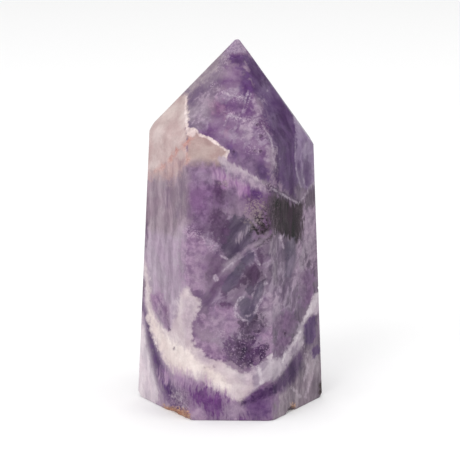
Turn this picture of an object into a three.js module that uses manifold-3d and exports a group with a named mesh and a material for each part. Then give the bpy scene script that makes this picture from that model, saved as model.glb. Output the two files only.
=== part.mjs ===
// Chevron amethyst point: one quartz crystal, sawn flat at the foot and polished to a six-sided point.
// Millimetres, +Z up. The origin is on the flat foot, under the middle of the stone's outline.
import * as THREE from 'three';
import { ConvexGeometry } from 'three/addons/geometries/ConvexGeometry.js';
import { mergeVertices } from 'three/addons/utils/BufferGeometryUtils.js';
import Module from 'manifold-3d';

// Driving dimensions
const HEIGHT = 80;
const EDGE_RADIUS = 0.4;
const ROUNDING_STEPS = 3;
// A worn foot corner goes this many times as far up its edge as it goes in across the foot
const FOOT_WEAR_SLOPE = 1.4;
// Where the sloping faces would meet, a little above the worn tip
const TIP = new THREE.Vector3(1.6, 0, HEIGHT + 0.6);
// The small flats in place of two shoulders' corners: how deep each cuts, and which way it faces in degrees
const WORN_SHOULDERS = {
  right: { depth: 0.7, azimuth: -3, tilt: 35 },
  left: { depth: 0.4, azimuth: 180, tilt: 30 },
};
// How uneven the floor of a chip is, and how fast it wavers along x, y and z of the chip
const CHIP_UNEVENNESS = 0.13;
const CHIP_WAVES = { x: 7.1, y: 4.3, z: 5.7 };
// Three planes that meet in no single point have a smaller product than this
const PARALLEL = 1e-6;
// How far outside a plane a corner may lie, and how near two points are to be one
const ON_PLANE = 1e-5;
const SAME_POINT = 1e-4;

// The six upright edges, anticlockwise seen from above. foot is where an edge meets the base, wear is how far
// in that corner is worn, shoulder is the height at which the edge turns in to the tip, and lean is the inward
// slope, in degrees, of the polished face between this edge and the next one.
const UPRIGHTS = {
  left: { foot: [-20.6, 0.2], wear: 0.9, shoulder: 61.2, lean: 1.65 },
  frontLeft: { foot: [-9.1, -16.7], wear: 0.5, shoulder: 59.1, lean: 2.95 },
  frontRight: { foot: [9.2, -17.2], wear: 0.5, shoulder: 58.8, lean: 2.35 },
  right: { foot: [20.6, -0.4], wear: 0.7, shoulder: 58.4, lean: 1.7 },
  backRight: { foot: [9.9, 16.4], wear: 0.6, shoulder: 59.4, lean: 2.4 },
  backLeft: { foot: [-10.4, 17.2], wear: 0.4, shoulder: 61, lean: 3.3 },
};

const EDGE_NAMES = Object.keys(UPRIGHTS);
const DOWN = new THREE.Vector3(0, 0, -1);

// Polished planes of the stone

function pointOn(planes) {
  const [a, b, c] = planes;
  const bc = new THREE.Vector3().crossVectors(b.normal, c.normal);
  const ca = new THREE.Vector3().crossVectors(c.normal, a.normal);
  const ab = new THREE.Vector3().crossVectors(a.normal, b.normal);
  const volume = a.normal.dot(bc);
  if (Math.abs(volume) < PARALLEL) return null;
  const sum = bc.multiplyScalar(a.constant).addScaledVector(ca, b.constant).addScaledVector(ab, c.constant);
  return sum.multiplyScalar(-1 / volume);
}

function level(height) {
  return new THREE.Plane(new THREE.Vector3(0, 0, 1), -height);
}

function neighbour(edge, step) {
  return EDGE_NAMES[(EDGE_NAMES.indexOf(edge) + step + EDGE_NAMES.length) % EDGE_NAMES.length];
}

function footCorner(edge) {
  return new THREE.Vector3(...UPRIGHTS[edge].foot, 0);
}

// The upright face from an edge to the next one: it holds both feet and leans in as it rises.
function sidePlane(edge) {
  const foot = footCorner(edge);
  const along = footCorner(neighbour(edge, 1)).sub(foot).normalize();
  const lean = THREE.MathUtils.degToRad(UPRIGHTS[edge].lean);
  const outward = new THREE.Vector3(along.y, -along.x, Math.tan(lean)).normalize();
  return new THREE.Plane().setFromNormalAndCoplanarPoint(outward, foot);
}

function uprightPoint(edge, height) {
  return pointOn([sidePlane(neighbour(edge, -1)), sidePlane(edge), level(height)]);
}

function shoulderPoint(edge) {
  return uprightPoint(edge, UPRIGHTS[edge].shoulder);
}

// The sloping face above each upright face: it holds two shoulders and the tip.
function tipPlane(edge) {
  return new THREE.Plane().setFromCoplanarPoints(shoulderPoint(edge), shoulderPoint(neighbour(edge, 1)), TIP);
}

// The worn flat at the lower end of an upright edge.
function wornFootPlane(edge) {
  const corner = footCorner(edge);
  const away = corner.clone().normalize();
  const outward = away.clone().multiplyScalar(FOOT_WEAR_SLOPE).add(DOWN).normalize();
  const inside = corner.addScaledVector(away, -UPRIGHTS[edge].wear);
  return new THREE.Plane().setFromNormalAndCoplanarPoint(outward, inside);
}

function wornShoulderPlane(edge) {
  const wear = WORN_SHOULDERS[edge];
  const azimuth = THREE.MathUtils.degToRad(wear.azimuth);
  const tilt = THREE.MathUtils.degToRad(wear.tilt);
  const outward = new THREE.Vector3(Math.cos(azimuth) * Math.cos(tilt), Math.sin(azimuth), Math.sin(tilt));
  outward.normalize();
  const inside = shoulderPoint(edge).addScaledVector(outward, -wear.depth);
  return new THREE.Plane().setFromNormalAndCoplanarPoint(outward, inside);
}

// The convex stone with its edges rounded

function cornersOf(planes) {
  const corners = [];
  for (let i = 0; i < planes.length; i += 1) {
    for (let j = i + 1; j < planes.length; j += 1) {
      for (let k = j + 1; k < planes.length; k += 1) {
        const point = pointOn([planes[i], planes[j], planes[k]]);
        const inside = point && planes.every((plane) => plane.distanceToPoint(point) < ON_PLANE);
        if (inside) corners.push({ point, normals: [i, j, k].map((index) => planes[index].normal) });
      }
    }
  }
  return corners;
}

// The directions between three normals, in even steps: a ball's patch that fills one rounded corner.
function directionsBetween([a, b, c]) {
  const directions = [];
  for (let i = 0; i <= ROUNDING_STEPS; i += 1) {
    for (let j = 0; j <= ROUNDING_STEPS - i; j += 1) {
      const mix = a.clone().multiplyScalar(i).addScaledVector(b, j).addScaledVector(c, ROUNDING_STEPS - i - j);
      directions.push(mix.normalize());
    }
  }
  return directions;
}

function roundedStone() {
  const faces = [sidePlane, tipPlane, wornFootPlane].flatMap((plane) => EDGE_NAMES.map(plane));
  const worn = Object.keys(WORN_SHOULDERS).map(wornShoulderPlane);
  const planes = [new THREE.Plane(DOWN, 0), level(HEIGHT), ...worn, ...faces];
  const inset = planes.map((plane) => new THREE.Plane(plane.normal, plane.constant + EDGE_RADIUS));
  const points = cornersOf(inset).flatMap(({ point, normals }) =>
    directionsBetween(normals).map((direction) => point.clone().addScaledVector(direction, EDGE_RADIUS)));
  return new ConvexGeometry(points);
}

// Chips, nicks and pits

// A lump with uneven flat faces, whose shape is taken out of the stone.
function biteGeometry({ at, radii, turn = 0, detail = 1 }) {
  const bite = mergeVertices(positionsOnly(new THREE.IcosahedronGeometry(1, detail)), SAME_POINT);
  const positions = bite.getAttribute('position');
  const point = new THREE.Vector3();
  for (let i = 0; i < positions.count; i += 1) {
    point.fromBufferAttribute(positions, i);
    const wave = Math.sin(CHIP_WAVES.x * point.x + CHIP_WAVES.y * point.y * at.x);
    point.multiplyScalar(1 + CHIP_UNEVENNESS * wave * Math.cos(CHIP_WAVES.z * point.z + at.y));
    positions.setXYZ(i, point.x, point.y, point.z);
  }
  bite.scale(...radii);
  bite.rotateZ(THREE.MathUtils.degToRad(turn));
  bite.translate(at.x, at.y, at.z);
  return bite;
}

function positionsOnly(geometry) {
  geometry.deleteAttribute('normal');
  geometry.deleteAttribute('uv');
  return geometry;
}

// A place on the foot's rim, a share of the way from an edge to the next one.
function rimPoint(edge, share, height = 0) {
  return footCorner(edge).lerp(footCorner(neighbour(edge, 1)), share).setZ(height);
}

function rimAngle(edge) {
  const along = footCorner(neighbour(edge, 1)).sub(footCorner(edge));
  return THREE.MathUtils.radToDeg(Math.atan2(along.y, along.x));
}

function facePoint(edge, share, height) {
  return uprightPoint(edge, height).lerp(uprightPoint(neighbour(edge, 1), height), share);
}

// A place on a sloping face: a share of the way across it, and a share of the way from shoulder to tip.
function slopePoint(edge, share, rise) {
  const across = shoulderPoint(edge).lerp(shoulderPoint(neighbour(edge, 1)), share);
  return across.lerp(TIP, rise);
}

function ridgePoint(edge, rise) {
  return slopePoint(edge, 0, rise);
}

function pit(at, radius) {
  return { at, radii: [radius, radius, radius] };
}

const bites = [
  // The notch in the right-hand rim
  { at: rimPoint('frontRight', 0.36, -0.2), radii: [1.9, 1.1, 1.5], turn: rimAngle('frontRight'), detail: 2 },
  // The broken, unpolished stretch of rim beside the front left corner
  { at: rimPoint('left', 0.7, -0.3), radii: [2.3, 0.7, 1.6], turn: rimAngle('left'), detail: 2 },
  { at: rimPoint('left', 0.86, 0.3), radii: [1.9, 0.65, 2.3], turn: rimAngle('left'), detail: 2 },
  { at: rimPoint('left', 0.97, 0.1), radii: [1.3, 0.8, 1.5], turn: rimAngle('left'), detail: 2 },
  // Small chips on the rim behind
  { at: rimPoint('right', 0.62, -0.2), radii: [1.2, 0.7, 0.9], turn: rimAngle('right') },
  { at: rimPoint('backRight', 0.3, -0.2), radii: [1.6, 0.6, 0.8], turn: rimAngle('backRight') },
  // Nicks in the edges
  pit(uprightPoint('right', 25), 0.42),
  pit(uprightPoint('frontRight', 51.3), 0.5),
  pit(uprightPoint('backLeft', 33), 0.55),
  pit(ridgePoint('right', 0.4), 0.42),
  pit(ridgePoint('backRight', 0.1), 0.5),
  // Pits in the polish
  pit(facePoint('frontLeft', 0.82, 58.6), 0.34),
  pit(facePoint('frontLeft', 0.89, 58.5), 0.34),
  pit(facePoint('frontLeft', 0.57, 58.4), 0.28),
  pit(facePoint('frontRight', 0.27, 18), 0.36),
  pit(slopePoint('frontLeft', 0.92, 0.22), 0.36),
  pit(slopePoint('frontLeft', 0.93, 0.12), 0.36),
];

// The finished stone

const wasm = await Module();
wasm.setup();

function solidFrom(geometry) {
  const shell = mergeVertices(positionsOnly(geometry), SAME_POINT);
  const mesh = new wasm.Mesh({
    numProp: 3,
    vertProperties: new Float32Array(shell.getAttribute('position').array),
    triVerts: new Uint32Array(shell.getIndex().array),
  });
  return new wasm.Manifold(mesh);
}

function geometryFrom(solid) {
  const mesh = solid.getMesh();
  const geometry = new THREE.BufferGeometry();
  geometry.setAttribute('position', new THREE.BufferAttribute(mesh.vertProperties, mesh.numProp));
  geometry.setIndex(new THREE.BufferAttribute(mesh.triVerts, 1));
  return geometry;
}

function chippedStone() {
  let stone = solidFrom(roundedStone());
  for (const bite of bites) stone = stone.subtract(solidFrom(biteGeometry(bite)));
  const geometry = geometryFrom(stone);
  geometry.computeBoundingBox();
  const middle = geometry.boundingBox.getCenter(new THREE.Vector3());
  geometry.translate(-middle.x, -middle.y, 0);
  geometry.computeVertexNormals();
  return geometry;
}

const polishedAmethyst = new THREE.MeshStandardMaterial({
  color: 0x8c7c98,
  roughness: 0.18,
  metalness: 0,
});

const stone = new THREE.Mesh(chippedStone(), polishedAmethyst);
stone.name = 'amethyst_point';

const group = new THREE.Group();
group.add(stone);

export default group;
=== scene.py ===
"""A chevron amethyst point, standing on its sawn foot.

The stone is one natural quartz crystal, with six polished upright faces, six sloping faces and a slightly
worn tip. It is cut from a block by its polished planes, its edges are eased, and its rim is chipped. Its
markings are growth layers, patches and fractures that run back through the stone. Some of them also hold
painted light: the tones of the faces hold painted light and shade, lighter on the left faces and darker on
the right, and the pale rim of the left slope holds a painted sheen. Each marking keeps, at every point of
the surface, its depth inside the marking's outline, and the material turns those depths into colour.
"""

import logging
import math
from abc import ABC, abstractmethod
from dataclasses import dataclass
from enum import Enum

import bmesh
import bpy
import numpy as np
from mathutils import Matrix, Vector, noise


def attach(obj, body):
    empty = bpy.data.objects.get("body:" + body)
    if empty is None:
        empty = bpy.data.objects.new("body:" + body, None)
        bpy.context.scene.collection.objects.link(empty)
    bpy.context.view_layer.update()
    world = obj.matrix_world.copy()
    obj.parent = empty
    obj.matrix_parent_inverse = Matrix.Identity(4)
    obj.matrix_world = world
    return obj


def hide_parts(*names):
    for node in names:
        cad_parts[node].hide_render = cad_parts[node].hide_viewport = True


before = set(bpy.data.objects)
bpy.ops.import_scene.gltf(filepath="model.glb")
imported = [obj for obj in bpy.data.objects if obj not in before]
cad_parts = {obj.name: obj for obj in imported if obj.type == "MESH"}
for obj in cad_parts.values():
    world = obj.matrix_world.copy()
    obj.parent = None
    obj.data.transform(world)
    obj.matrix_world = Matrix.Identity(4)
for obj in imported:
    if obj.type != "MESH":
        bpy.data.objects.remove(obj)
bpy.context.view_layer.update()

MM = 0.001
SIDES = 6
# Keeps a division by a length of nothing finite
TINY = 1e-9
# The share of each stretch that is cut off beside an outline's corner
CORNER_CUT = 0.25
# The display curve of every tone but the darkest, which the stone doesn't have
DISPLAY_SHIFT = 0.055
DISPLAY_POWER = 2.4

Places = tuple[tuple[float, float], ...]
Seen = tuple[int, int, int]
Linear = tuple[float, float, float, float]


def tone(red: int, green: int, blue: int) -> Linear:
    """Turns a display colour into the linear colour that a material takes.

    Args:
        red: The red part, from 0 to 255.
        green: The green part, from 0 to 255.
        blue: The blue part, from 0 to 255.

    Returns:
        The linear colour, opaque.
    """
    shares = (part / 255 for part in (red, green, blue))
    return (*(((share + DISPLAY_SHIFT) / (1 + DISPLAY_SHIFT)) ** DISPLAY_POWER for share in shares), 1.0)


def eased(share: np.ndarray) -> np.ndarray:
    """Lets a share start and end gently on its way from 0 to 1."""
    return share * share * (3 - 2 * share)


@dataclass(frozen=True)
class FrontView:
    """The view that the markings are placed in: a square picture, from in front of the stone and above it."""

    distance: float = 450 * MM
    elevation: float = 14.0
    aim_height: float = 38.04 * MM
    side: float = 460.0
    focal_length: float = 2060.0
    sensor: float = 36.0
    nearest: float = 10 * MM

    @property
    def millimetres_per_step(self) -> float:
        """The size of one picture step at the middle of the stone."""
        return self.distance / self.focal_length / MM

    def back(self) -> Vector:
        """The direction from the stone to the eye."""
        rise = math.radians(self.elevation)
        return Vector((0.0, -math.cos(rise), math.sin(rise)))

    def places(self, points: np.ndarray) -> np.ndarray:
        """Works out where points of the stone stand in the picture.

        Args:
            points: One point a row, in metres.

        Returns:
            One place a row, across and down from the picture's upper left corner.
        """
        back = np.array(self.back())
        right = np.array((1.0, 0.0, 0.0))
        up = np.cross(back, right)
        offset = points - (np.array((0.0, 0.0, self.aim_height)) + back * self.distance)
        scale = self.focal_length / -(offset @ back)
        return self.side / 2 + np.column_stack((offset @ right * scale, -(offset @ up) * scale))

    def camera(self) -> bpy.types.Object:
        """Makes the camera that takes this view."""
        data = bpy.data.cameras.new("front_view")
        data.sensor_width = self.sensor
        data.lens = self.focal_length * self.sensor / self.side
        data.clip_start = self.nearest
        camera = bpy.data.objects.new("front_view", data)
        bpy.context.collection.objects.link(camera)
        camera.location = Vector((0.0, 0.0, self.aim_height)) + self.back() * self.distance
        camera.rotation_euler = self.back().to_track_quat("Z", "Y").to_euler()
        bpy.context.scene.camera = camera
        return camera


# The stone's shape


@dataclass(frozen=True)
class Plane:
    """A polished plane of the stone, by a point on it and the direction that it faces."""

    point: Vector
    outward: Vector


@dataclass(frozen=True)
class Upright:
    """An upright edge of the stone, and the polished face between it and the next edge.

    foot is where the edge meets the base, wear is how far in that corner is worn, and shoulder is the height
    at which the edge turns in to the tip, all in millimetres. lean is the face's inward slope, in degrees.
    """

    foot: tuple[float, float]
    wear: float
    shoulder: float
    lean: float

    def corner(self) -> Vector:
        """The foot's corner, before wear."""
        return Vector((*self.foot, 0.0)) * MM


@dataclass(frozen=True)
class ShoulderWear:
    """A shoulder's small worn flat: whose it is, where it faces in degrees, and its depth in millimetres."""

    index: int
    azimuth: float
    tilt: float
    depth: float


@dataclass(frozen=True)
class Chip:
    """A bite out of the stone: its middle, its three radii in millimetres and its turn about the axis.

    uneven is how much its floor rises and falls, as a share of its depth.
    """

    middle: Vector
    radii: tuple[float, float, float]
    turn: float = 0.0
    uneven: float = 0.0

    def frame_of(self, points: np.ndarray) -> np.ndarray:
        """Turns points to the chip's own axes, in which it is a ball of radius one."""
        turned = (points - np.array(self.middle)) @ np.array(Matrix.Rotation(self.turn, 3, "Z"))
        return turned / (np.array(self.radii) * MM)

    def reach(self) -> float:
        """How far from its middle the chip can touch the stone."""
        return max(self.radii) * MM

    def bite(self, points: np.ndarray, inward: np.ndarray) -> np.ndarray:
        """Works out how far each point goes in to reach the chip's floor.

        Args:
            points: One point of the surface a row.
            inward: One direction into the stone a row.

        Returns:
            The distance for each point, zero where the chip doesn't reach.
        """
        start = self.frame_of(points)
        step = self.frame_of(points + inward * MM) - start
        a = np.einsum("ij,ij->i", step, step)
        b = np.einsum("ij,ij->i", start, step)
        c = np.einsum("ij,ij->i", start, start) - 1.0
        root = np.sqrt(np.maximum(b * b - a * c, 0.0))
        return np.where(c < 0.0, (root - b) / a, 0.0) * MM


@dataclass(frozen=True)
class PolishedPoint:
    """The stone's shape: its polished planes, its eased edges, and its chips and pits.

    block is the size of the block that it is cut from, in heights of the stone. grain, back_grain and
    chip_grain are the longest mesh edges in front, behind front_end and within chip_margin reaches of a chip.
    The surface is scored into cells before it is divided. touch, score_touch, degenerate, seam and sliver are
    the lengths below which cuts, points and edges count as one, and tie_break sets equal edges in an order.
    """

    uprights: tuple[Upright, ...]
    height: float = 80 * MM
    tip: Vector = Vector((1.6, 0.0, 80.6)) * MM
    foot_wear_slope: float = 1.4
    worn_shoulders: tuple[ShoulderWear, ...] = (
        ShoulderWear(3, -3.0, 35.0, 0.7), ShoulderWear(0, 180.0, 30.0, 0.4),
    )
    block: float = 4.0
    touch: float = 1e-8
    degenerate: float = 1e-6
    ease: float = 0.34 * MM
    ease_steps: int = 3
    grain: float = 0.5 * MM
    back_grain: float = 1.0 * MM
    front_end: float = 1 * MM
    chip_grain: float = 0.2 * MM
    chip_margin: float = 1.25
    tie_break: float = 1e-12
    cell: float = 3.3 * MM
    score_touch: float = 5e-6
    sectors: int = 18
    passes: int = 14
    seam: float = 0.02 * MM
    sliver: float = 0.04 * MM
    sway: float = 0.022 * MM
    sway_length: float = 7 * MM
    foot_fade: float = 1 * MM
    core_pull: float = 0.25
    chip_roughness: float = 0.55 * MM
    fully_broken: float = 0.15 * MM

    def side_plane(self, index: int) -> Plane:
        """The upright face from one edge to the next."""
        corner = self.uprights[index].corner()
        along = (self.uprights[(index + 1) % SIDES].corner() - corner).normalized()
        slope = math.tan(math.radians(self.uprights[index].lean))
        return Plane(corner, Vector((along.y, -along.x, slope)).normalized())

    def edge_point(self, index: int, height: float) -> Vector:
        """The point of an upright edge at a height."""
        sides = self.side_plane(index - 1), self.side_plane(index)
        rows = [*(side.outward for side in sides), (0.0, 0.0, 1.0)]
        values = [*(side.outward.dot(side.point) for side in sides), height]
        return Vector(np.linalg.solve(np.array(rows), np.array(values)))

    def shoulder(self, index: int) -> Vector:
        """The corner at which an upright edge turns in to the tip."""
        return self.edge_point(index % SIDES, self.uprights[index % SIDES].shoulder * MM)

    def slope_plane(self, index: int) -> Plane:
        """The sloping face above an upright face."""
        start, end = self.shoulder(index), self.shoulder(index + 1)
        return Plane(start, (end - start).cross(self.tip - start).normalized())

    def worn_foot_plane(self, index: int) -> Plane:
        """The worn flat at the lower end of an upright edge."""
        corner = self.uprights[index].corner()
        away = corner.normalized()
        outward = (away * self.foot_wear_slope + Vector((0.0, 0.0, -1.0))).normalized()
        return Plane(corner - away * self.uprights[index].wear * MM, outward)

    def worn_shoulder_plane(self, wear: ShoulderWear) -> Plane:
        """The small flat that stands in place of a shoulder's corner."""
        azimuth, tilt = math.radians(wear.azimuth), math.radians(wear.tilt)
        outward = Vector((math.cos(azimuth) * math.cos(tilt), math.sin(azimuth), math.sin(tilt))).normalized()
        return Plane(self.shoulder(wear.index) - outward * wear.depth * MM, outward)

    def planes(self) -> list[Plane]:
        """Every polished or worn plane of the stone."""
        up = Vector((0.0, 0.0, 1.0))
        level = [Plane(Vector(), -up), Plane(up * self.height, up)]
        cuts = (self.side_plane, self.slope_plane, self.worn_foot_plane)
        worn = [self.worn_shoulder_plane(wear) for wear in self.worn_shoulders]
        return [*level, *(cut(index) for cut in cuts for index in range(SIDES)), *worn]

    def cut_block(self) -> bmesh.types.BMesh:
        """Cuts a block by each plane in turn, and eases the edges."""
        bm = bmesh.new()
        bmesh.ops.create_cube(bm, size=self.block * self.height)
        for plane in self.planes():
            everything = [*bm.verts, *bm.edges, *bm.faces]
            cut = bmesh.ops.bisect_plane(
                bm, geom=everything, dist=self.touch, plane_co=plane.point, plane_no=plane.outward,
                clear_outer=True
            )
            rim = [item for item in cut["geom_cut"] if isinstance(item, bmesh.types.BMEdge)]
            bmesh.ops.edgeloop_fill(bm, edges=rim)
        bmesh.ops.remove_doubles(bm, verts=bm.verts, dist=self.seam)
        bmesh.ops.dissolve_degenerate(bm, edges=bm.edges, dist=self.degenerate)
        bmesh.ops.bevel(
            bm, geom=[*bm.verts, *bm.edges], offset=self.ease, offset_type="OFFSET", segments=self.ease_steps,
            profile=0.5, affect="EDGES", clamp_overlap=True, material=-1
        )
        bmesh.ops.recalc_face_normals(bm, faces=bm.faces)
        return bm

    def allowed_lengths(self, middles: np.ndarray, chips: list[Chip]) -> np.ndarray:
        """The longest mesh edge allowed at each place: fine in front, finer at the chips, coarser behind."""
        allowed = np.where(middles[:, 1] < self.front_end, self.grain, self.back_grain)
        for chip in chips:
            away = np.linalg.norm(middles - np.array(chip.middle), axis=1)
            allowed[away < self.chip_margin * chip.reach()] = self.chip_grain
        return allowed

    def edges_to_split(self, mesh: bpy.types.Mesh, chips: list[Chip]) -> np.ndarray:
        """Finds the edges that are the longest of both of their triangles, where one of those is too coarse.

        Args:
            mesh: The surface so far, all triangles.
            chips: The chips and pits, near which the surface is finer.

        Returns:
            The numbers of the edges to split, none once the surface is fine enough.
        """
        places = np.empty(len(mesh.vertices) * 3)
        mesh.vertices.foreach_get("co", places)
        ends = np.empty(len(mesh.edges) * 2, int)
        mesh.edges.foreach_get("vertices", ends)
        sides = np.empty(len(mesh.loops), int)
        mesh.loops.foreach_get("edge_index", sides)
        places, ends, sides = places.reshape(-1, 3), ends.reshape(-1, 2), sides.reshape(-1, 3)
        starts, stops = places[ends[:, 0]], places[ends[:, 1]]
        lengths = np.linalg.norm(stops - starts, axis=1)
        ranks = lengths + np.arange(len(lengths)) * self.tie_break
        longest = sides[np.arange(len(sides)), ranks[sides].argmax(axis=1)]
        coarse = (lengths > self.allowed_lengths((starts + stops) / 2, chips))[sides].any(axis=1)
        while True:
            wanted = np.zeros(len(lengths), bool)
            wanted[longest[coarse]] = True
            touched = wanted[sides].any(axis=1)
            if not (touched & ~coarse).any():
                break
            coarse |= touched
        return np.flatnonzero(wanted & (np.bincount(longest, minlength=len(lengths)) == 2))

    def score(self, bm: bmesh.types.BMesh) -> None:
        """Scores the surface into even cells, by level planes and by planes through the tip's axis."""
        levels = np.arange(self.cell, self.height, self.cell)
        scores = [Plane(Vector((0.0, 0.0, level)), Vector((0.0, 0.0, 1.0))) for level in levels]
        axis = self.tip.normalized()
        for turn in np.linspace(0.0, math.pi, self.sectors, endpoint=False):
            across = Matrix.Rotation(turn, 3, axis) @ axis.cross(Vector((0.0, 1.0, 0.0)))
            scores.append(Plane(self.tip, across.normalized()))
        for plane in scores:
            everything = [*bm.verts, *bm.edges, *bm.faces]
            bmesh.ops.bisect_plane(
                bm, geom=everything, dist=self.score_touch, plane_co=plane.point, plane_no=plane.outward
            )

    def refine(self, bm: bmesh.types.BMesh, chips: list[Chip]) -> None:
        """Divides the surface, longest edges first, until it is fine enough everywhere."""
        self.score(bm)
        bmesh.ops.remove_doubles(bm, verts=bm.verts, dist=self.sliver)
        bmesh.ops.triangulate(bm, faces=bm.faces)
        snapshot = bpy.data.meshes.new("snapshot")
        for _ in range(self.passes):
            bm.to_mesh(snapshot)
            chosen = self.edges_to_split(snapshot, chips)
            if not len(chosen):
                break
            bm.edges.ensure_lookup_table()
            edges = [bm.edges[index] for index in chosen]
            bmesh.ops.subdivide_edges(bm, edges=edges, cuts=1, use_single_edge=True)
        bpy.data.meshes.remove(snapshot)

    def rim(self, index: int, share: float, height: float = 0.0) -> Vector:
        """A place on the rim, a share of the way from one edge to the next, at a height in millimetres."""
        start, end = self.uprights[index].corner(), self.uprights[(index + 1) % SIDES].corner()
        return start.lerp(end, share) + Vector((0.0, 0.0, height)) * MM

    def rim_turn(self, index: int) -> float:
        """The turn of a stretch of rim about the upright axis."""
        along = self.uprights[(index + 1) % SIDES].corner() - self.uprights[index].corner()
        return math.atan2(along.y, along.x)

    def face_place(self, index: int, share: float, height: float) -> Vector:
        """A place on an upright face: a share of the way across it, and a height in millimetres."""
        start, end = (self.edge_point(edge % SIDES, height * MM) for edge in (index, index + 1))
        return start.lerp(end, share)

    def slope_place(self, index: int, share: float, rise: float) -> Vector:
        """A place on a sloping face: a share of the way across it, and a share of the way up to the tip."""
        return self.shoulder(index).lerp(self.shoulder(index + 1), share).lerp(self.tip, rise)

    def chips(self) -> list[Chip]:
        """The notch and broken stretches of the rim, the nicks in the edges, and the pits in the polish."""
        rim_chips = [
            Chip(self.rim(2, 0.36, -0.2), (1.9, 1.1, 1.5), self.rim_turn(2), 0.24),
            Chip(self.rim(0, 0.70, -0.3), (2.3, 0.7, 1.6), self.rim_turn(0), 0.4),
            Chip(self.rim(0, 0.86, 0.3), (1.9, 0.65, 2.3), self.rim_turn(0), 0.4),
            Chip(self.rim(0, 0.97, 0.1), (1.3, 0.8, 1.5), self.rim_turn(0), 0.4),
            Chip(self.rim(3, 0.62, -0.2), (1.2, 0.7, 0.9), self.rim_turn(3), 0.2),
            Chip(self.rim(4, 0.30, -0.2), (1.6, 0.6, 0.8), self.rim_turn(4), 0.2),
        ]
        nicks = [
            (self.edge_point(3, 25 * MM), 0.42),
            (self.edge_point(2, 51.3 * MM), 0.5),
            (self.edge_point(5, 33 * MM), 0.55),
            (self.slope_place(3, 0.0, 0.4), 0.42),
            (self.slope_place(4, 0.0, 0.1), 0.5),
            (self.face_place(1, 0.82, 58.6), 0.34),
            (self.face_place(1, 0.89, 58.5), 0.34),
            (self.face_place(1, 0.57, 58.4), 0.28),
            (self.face_place(2, 0.27, 18.0), 0.36),
            (self.slope_place(1, 0.92, 0.22), 0.36),
            (self.slope_place(1, 0.93, 0.12), 0.36),
        ]
        return [*rim_chips, *(Chip(middle, (radius, radius, radius)) for middle, radius in nicks)]

    def build(self) -> bpy.types.Object:
        """Makes the finished mesh: cut, eased, divided finely, then swayed and chipped."""
        chips = self.chips()
        bm = self.cut_block()
        self.refine(bm, chips)
        bm.normal_update()
        points = np.array([vert.co for vert in bm.verts])
        inward = -np.array([vert.normal for vert in bm.verts])
        moved, broken = self.worn(points, inward, chips)
        mesh = bpy.data.meshes.new("amethyst_stone")
        for vert, place in zip(bm.verts, moved):
            vert.co = place
        bm.to_mesh(mesh)
        bm.free()
        mesh.shade_smooth()
        mesh.attributes.new("broken", "FLOAT", "POINT").data.foreach_set("value", broken)
        stone = bpy.data.objects.new("amethyst_stone", mesh)
        bpy.context.collection.objects.link(stone)
        return stone

    def worn(self, points: np.ndarray, inward: np.ndarray,
             chips: list[Chip]) -> tuple[np.ndarray, np.ndarray]:
        """Lets the polished faces sway a little, and takes out the chips.

        Args:
            points: The cut surface's points.
            inward: The direction into the stone at each point.
            chips: The chips and pits to take out.

        Returns:
            The moved points, and how broken the surface is at each, from 0 to 1.
        """
        above_foot = np.clip(points[:, 2] / self.foot_fade, 0.0, 1.0)
        sway = np.array([noise.noise(Vector(point) / self.sway_length) for point in points])
        depth = self.sway * (1.0 + sway) * above_foot
        to_core = -points
        to_core[:, 2] = self.core_pull * (self.height / 2 - points[:, 2])
        to_core /= np.linalg.norm(to_core, axis=1)[:, None]
        bitten = np.zeros(len(points))
        for chip in chips:
            near = np.linalg.norm(points - np.array(chip.middle), axis=1) < chip.reach()
            rough = np.array([noise.noise(Vector(point) / self.chip_roughness) for point in points[near]])
            bite = chip.bite(points[near], to_core[near])
            bitten[near] = np.maximum(bitten[near], bite * (1.0 + chip.uneven * rough))
        moved = points + inward * depth[:, None] + to_core * bitten[:, None]
        return moved, np.clip(bitten / self.fully_broken, 0.0, 1.0)


# The stone's markings


class Grain(Enum):
    """The stone's fine patterns, which mix a marking's two tones, fray its edge or break up its cover."""

    CLOUD = "soft clouds a few millimetres across"
    MOTTLE = "irregular spots about a millimetre across"
    FROST = "sugary grains"
    FIBRE = "fine upright fibres"
    STREAK = "broad upright streaks"
    SHARD = "angular crystal blocks"
    SLANT = "wisps that slant down to the left"


def to_segment(places: np.ndarray, start: np.ndarray, end: np.ndarray) -> tuple[np.ndarray, np.ndarray]:
    """Measures from places to a straight segment.

    Args:
        places: One place a row.
        start: The segment's first end.
        end: The segment's other end.

    Returns:
        The distance of each place, and the share of the way along the segment of its nearest point.
    """
    along = end - start
    share = np.clip((places - start) @ along / max(along @ along, TINY), 0.0, 1.0)
    return np.linalg.norm(places - start - share[:, None] * along, axis=1), share


class Shape(ABC):
    """A flat shape in the front view."""

    @abstractmethod
    def depth(self, places: np.ndarray) -> np.ndarray:
        """How far inside the shape each place is, in picture steps, and negative outside."""


@dataclass(frozen=True)
class Patch(Shape):
    """A closed outline, whose corners are cut round as often as rounds says."""

    outline: Places
    rounds: int = 1

    def smooth_outline(self) -> np.ndarray:
        """The closed outline with its corners cut."""
        outline = np.array(self.outline, float)
        for _ in range(self.rounds):
            after = np.roll(outline, -1, axis=0)
            first = (1 - CORNER_CUT) * outline + CORNER_CUT * after
            second = CORNER_CUT * outline + (1 - CORNER_CUT) * after
            outline = np.stack((first, second), 1).reshape(-1, 2)
        return outline

    def depth(self, places: np.ndarray) -> np.ndarray:
        """How far inside the outline each place is, and negative outside."""
        outline = self.smooth_outline()
        nearest = np.full(len(places), np.inf)
        inside = np.zeros(len(places), bool)
        for start, end in zip(outline, np.roll(outline, -1, axis=0)):
            nearest = np.minimum(nearest, to_segment(places, start, end)[0])
            spans = (start[1] > places[:, 1]) != (end[1] > places[:, 1])
            slope = (end[0] - start[0]) / ((end[1] - start[1]) or TINY)
            inside ^= spans & (places[:, 0] < start[0] + (places[:, 1] - start[1]) * slope)
        return np.where(inside, nearest, -nearest)


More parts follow.
